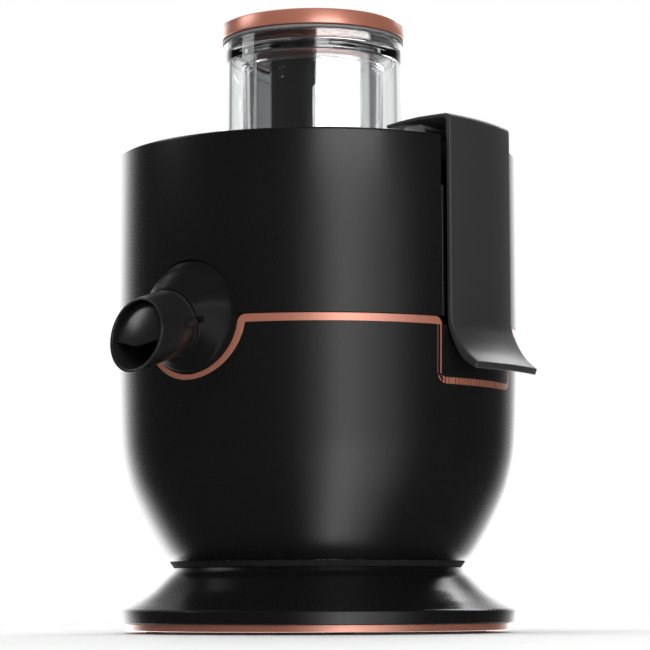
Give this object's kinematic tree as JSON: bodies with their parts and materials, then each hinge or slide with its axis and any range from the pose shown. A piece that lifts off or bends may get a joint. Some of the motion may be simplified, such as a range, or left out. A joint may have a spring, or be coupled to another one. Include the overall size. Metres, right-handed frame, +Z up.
{
  "type": "centrifugal juicer",
  "caption": "Upright round centrifugal juicer with a black body, copper-coloured bands, a sloping juice nozzle, a pulp chute and a wide clear feed tube with a pusher.",
  "frame": {"origin": "middle of the base plate's flat underside, on the motor's axis", "axes": "+Z up along the motor's axis, -Y along the juice nozzle, +X towards the pulp chute"},
  "size_m": [0.2708, 0.2839, 0.3625],
  "materials": {
    "gloss_black": "polished injection-moulded plastic",
    "satin_black": "fine satin moulded plastic",
    "satin_grey": "satin dark grey plastic",
    "copper": "satin copper-coloured plating",
    "clear_plastic": "clear moulded plastic",
    "smoked_plastic": "dark smoked glossy plastic",
    "steel": "brushed stainless steel",
    "lamination": "stacked electrical steel",
    "titanium_coated": "titanium-coated stamped steel",
    "rubber": "matte black elastomer",
    "nylon": "natural moulded nylon",
    "copper_wire": "enamelled copper"
  },
  "bodies": {
    "base": {"foot": "gloss_black", "copper_base_ring": "copper", "base_plate": "satin_black", "rubber_foot_1": "rubber", "rubber_foot_2": "rubber", "rubber_foot_3": "rubber", "rubber_foot_4": "rubber", "base_screw_1": "steel", "base_screw_2": "steel", "base_screw_3": "steel", "base_screw_4": "steel", "lower_housing": "gloss_black", "copper_trim": "copper", "pulp_tray": "gloss_black", "deck": "satin_black", "shaft_seal": "rubber", "motor_bracket_top": "steel", "motor_bracket_bottom": "steel", "bearing_top": "steel", "bearing_bottom": "steel", "stator": "lamination", "field_coil_1": "copper_wire", "field_coil_2": "copper_wire", "brush_holder_1": "nylon", "brush_holder_2": "nylon", "motor_bolt_1": "steel", "motor_bolt_2": "steel", "speed_switch": "nylon", "cord_gland": "rubber"},
    "rotor": {"motor_shaft": "steel", "armature": "lamination", "winding_top": "copper_wire", "winding_bottom": "copper_wire", "commutator": "copper_wire", "cooling_fan": "satin_black", "drive_coupling": "nylon"},
    "knob": {"speed_knob": "gloss_black"},
    "housing": {"upper_housing": "gloss_black", "bowl_floor": "satin_black", "bowl_chimney": "satin_black", "bowl_wall": "satin_black", "bowl_flange": "satin_black", "bowl_spout": "satin_black", "pulp_duct": "gloss_black", "spout_flare": "gloss_black", "latch_pin": "steel"},
    "nozzle": {"nozzle": "gloss_black"},
    "basket": {"filter_mesh": "steel", "filter_hub": "steel", "drive_socket": "nylon", "filter_rim": "steel", "grating_disc": "titanium_coated"},
    "latch": {"lid_latch": "satin_black"},
    "lid": {"lid": "satin_grey", "lid_seal": "rubber", "feed_tube": "clear_plastic", "chute_cover": "satin_grey"},
    "pusher": {"pusher_body": "smoked_plastic", "pusher_gasket": "rubber", "pusher_cap": "copper"}
  },
  "joints": [
    {"name": "motor_spin", "type": "hinge", "parent": "base", "child": "rotor", "pos_m": [0, 0, 0], "axis": [0, 0, 1], "continuous": true},
    {"name": "knob_turn", "type": "hinge", "parent": "base", "child": "knob", "pos_m": [-0.118, 0, 0.105], "axis": [-1, 0, 0], "range_deg": [-45, 90]},
    {"name": "housing_lift", "type": "slide", "parent": "base", "child": "housing", "axis": [0, 0, 1], "range_m": [0, 0.08]},
    {"name": "nozzle_turn", "type": "hinge", "parent": "housing", "child": "nozzle", "pos_m": [0, -0.1184, 0.1752], "axis": [0, -0.9537, -0.3007], "range_deg": [0, 180]},
    {"name": "basket_spin", "type": "hinge", "parent": "housing", "child": "basket", "pos_m": [0, 0, 0], "axis": [0, 0, 1], "continuous": true},
    {"name": "latch_open", "type": "hinge", "parent": "housing", "child": "latch", "pos_m": [-0.1236, 0, 0.25], "axis": [0, -1, 0], "range_deg": [0, 60]},
    {"name": "lid_lift", "type": "slide", "parent": "housing", "child": "lid", "axis": [0, 0, 1], "range_m": [0, 0.15]},
    {"name": "pusher_lift", "type": "slide", "parent": "lid", "child": "pusher", "axis": [0, 0, 1], "range_m": [0, 0.14]}
  ],
  "couplings": [
    {"joint": "basket_spin", "follows": "motor_spin", "ratio": 1}
  ]
}
